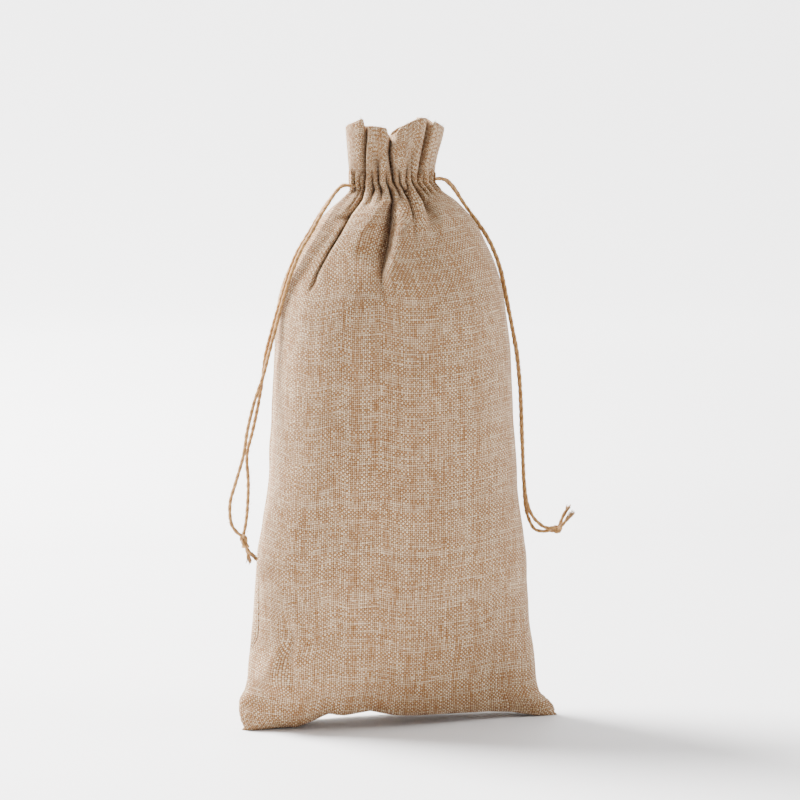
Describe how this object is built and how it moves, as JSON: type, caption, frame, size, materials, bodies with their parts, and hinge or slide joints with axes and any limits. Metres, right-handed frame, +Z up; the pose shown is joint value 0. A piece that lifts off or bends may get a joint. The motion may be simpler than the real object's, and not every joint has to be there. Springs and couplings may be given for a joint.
{
  "type": "drawstring wine gift bag",
  "caption": "Tall cloth gift bag for a bottle, standing filled, with its ruffled mouth drawn shut by jute drawstrings that leave a slit at each side and end in knots.",
  "frame": {"origin": "middle of the bag's base on the surface that it stands on", "axes": "+X across the bag to its right side seam, -Y out of the front panel, +Z up to the ruffle"},
  "size_m": [0.1832, 0.0756, 0.315],
  "materials": {
    "linen": "plain weave of cream and tan threads, matt with a slight sheen",
    "jute": "two-ply twisted jute with loose fibres",
    "thread": "spun polyester sewing thread"
  },
  "bodies": {
    "bag": {"front_panel": "linen", "back_panel": "linen", "bottom_seam_thread": "thread", "left_seam_thread": "thread", "right_seam_thread": "thread", "front_upper_stitches": "thread", "front_lower_stitches": "thread", "back_upper_stitches": "thread", "back_lower_stitches": "thread"},
    "left_loop": {"left_drawstring_loop": "jute"},
    "left_strands": {"left_front_strand": "jute", "left_back_strand": "jute", "left_knot": "jute", "left_front_tail": "jute", "left_back_tail": "jute"},
    "right_loop": {"right_drawstring_loop": "jute"},
    "right_strands": {"right_front_strand": "jute", "right_back_strand": "jute", "right_knot": "jute", "right_front_tail": "jute", "right_back_tail": "jute"}
  },
  "joints": [
    {"name": "left_string_pull", "type": "slide", "parent": "bag", "child": "left_loop", "axis": [-1, 0, 0], "range_m": [0, 0.005]},
    {"name": "left_strand_swing", "type": "hinge", "parent": "left_loop", "child": "left_strands", "pos_m": [-0.0255, 0, 0.2795], "axis": [0, 1, 0], "range_deg": [0, 75]},
    {"name": "right_string_pull", "type": "slide", "parent": "bag", "child": "right_loop", "axis": [1, 0, 0], "range_m": [0, 0.005]},
    {"name": "right_strand_swing", "type": "hinge", "parent": "right_loop", "child": "right_strands", "pos_m": [0.0255, 0, 0.2825], "axis": [0, -1, 0], "range_deg": [0, 75]}
  ]
}
